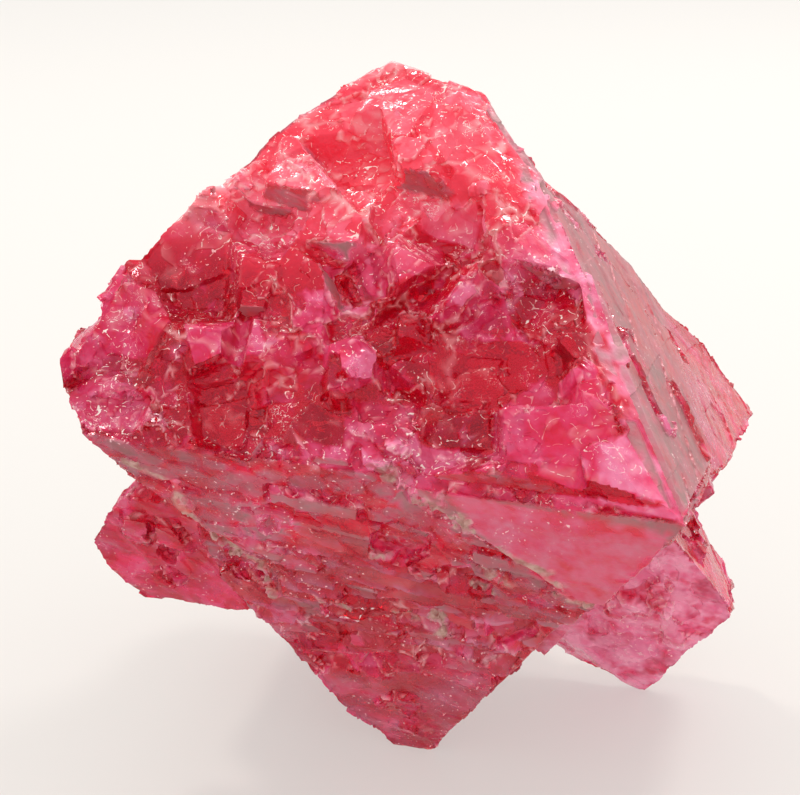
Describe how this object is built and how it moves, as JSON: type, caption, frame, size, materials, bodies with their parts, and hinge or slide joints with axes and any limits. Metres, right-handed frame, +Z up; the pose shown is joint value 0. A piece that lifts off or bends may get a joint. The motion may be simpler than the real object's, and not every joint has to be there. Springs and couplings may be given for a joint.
{
  "type": "spinel crystal specimen",
  "caption": "Rough red spinel: a thick octahedral crystal standing on its tip, with smaller crystals grown into its sides and back, all one solid.",
  "frame": {"origin": "the middle of the object's outline seen from above, at the level of the surface that it stands on", "axes": "+Z up, -Y towards the broad broken face, +X towards the right of that face"},
  "size_m": [0.0534, 0.0526, 0.0543],
  "materials": {
    "spinel": "translucent pinkish red crystal, glossy where broken, matt on the grown faces"
  },
  "bodies": {
    "root": {"spinel_crystal": "spinel"}
  },
  "joints": []
}
